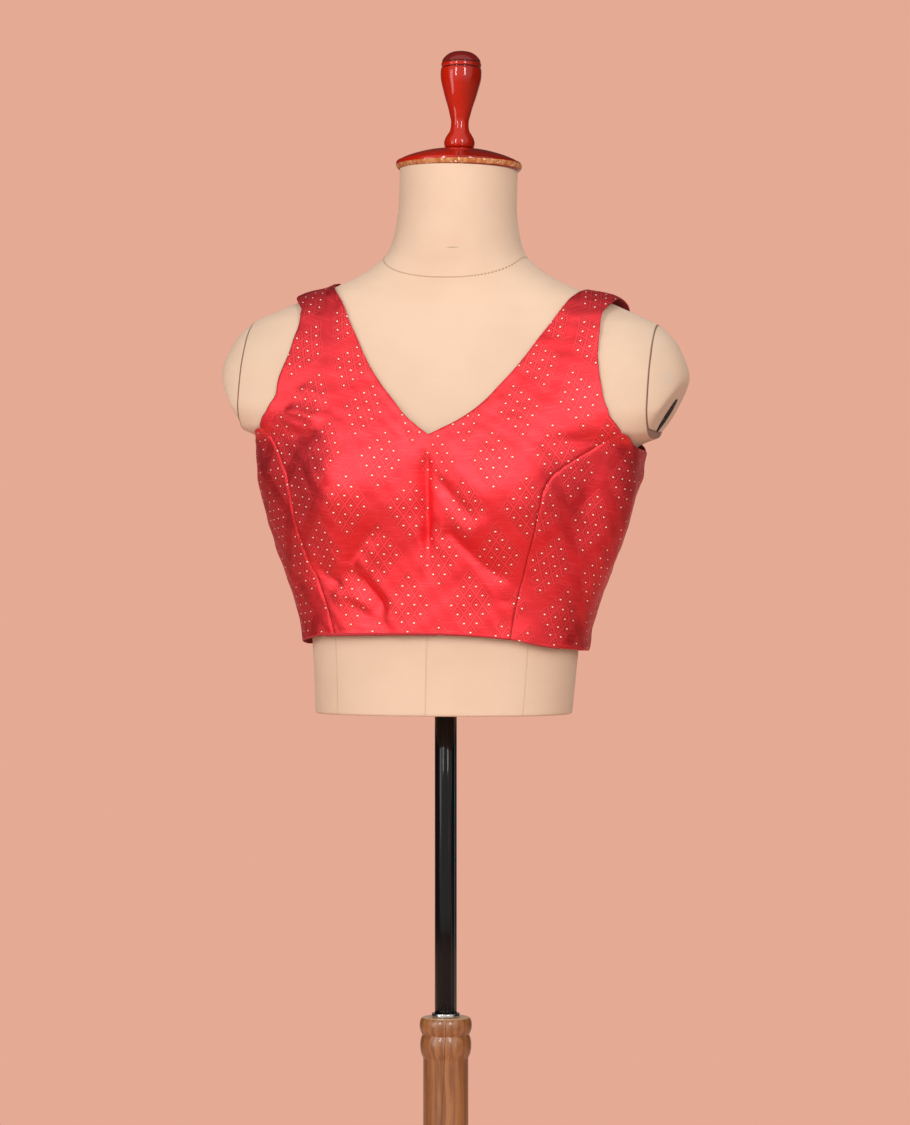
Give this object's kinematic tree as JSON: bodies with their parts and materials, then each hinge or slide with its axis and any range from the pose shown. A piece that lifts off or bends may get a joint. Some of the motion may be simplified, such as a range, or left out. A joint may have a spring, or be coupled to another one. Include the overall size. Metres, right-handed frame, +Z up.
{
  "type": "choli blouse on a dress form",
  "caption": "Sleeveless red brocade choli blouse with a V neck and princess seams, worn by a limbless dress form on a turned wooden stand.",
  "frame": {"origin": "point on the ground straight below the pole, at the middle of the feet", "axes": "+Z up, the form faces -Y, +X towards the form's own left side"},
  "size_m": [0.56, 0.56, 1.5631],
  "materials": {
    "red_brocade": "silk with a soft sheen and small gold spots",
    "cream_calico": "tightly stretched plain cotton",
    "red_lacquer": "glossy red-brown lacquer",
    "varnished_wood": "satin varnish",
    "black_enamel": "gloss black",
    "bright_steel": "polished",
    "dark_iron": "dark satin"
  },
  "bodies": {
    "root": {"front_center": "red_brocade", "front_side_left": "red_brocade", "front_side_right": "red_brocade", "back_left": "red_brocade", "back_right": "red_brocade", "back_placket": "red_brocade", "torso": "cream_calico", "arm_end_left": "cream_calico", "arm_end_right": "cream_calico", "arm_fitting_left": "dark_iron", "arm_fitting_right": "dark_iron", "neck_cap": "red_lacquer", "finial": "red_lacquer", "pole": "black_enamel", "ferrule": "bright_steel", "post": "varnished_wood", "hub": "varnished_wood", "leg_1": "varnished_wood", "leg_2": "varnished_wood", "leg_3": "varnished_wood", "leg_4": "varnished_wood"}
  },
  "joints": []
}
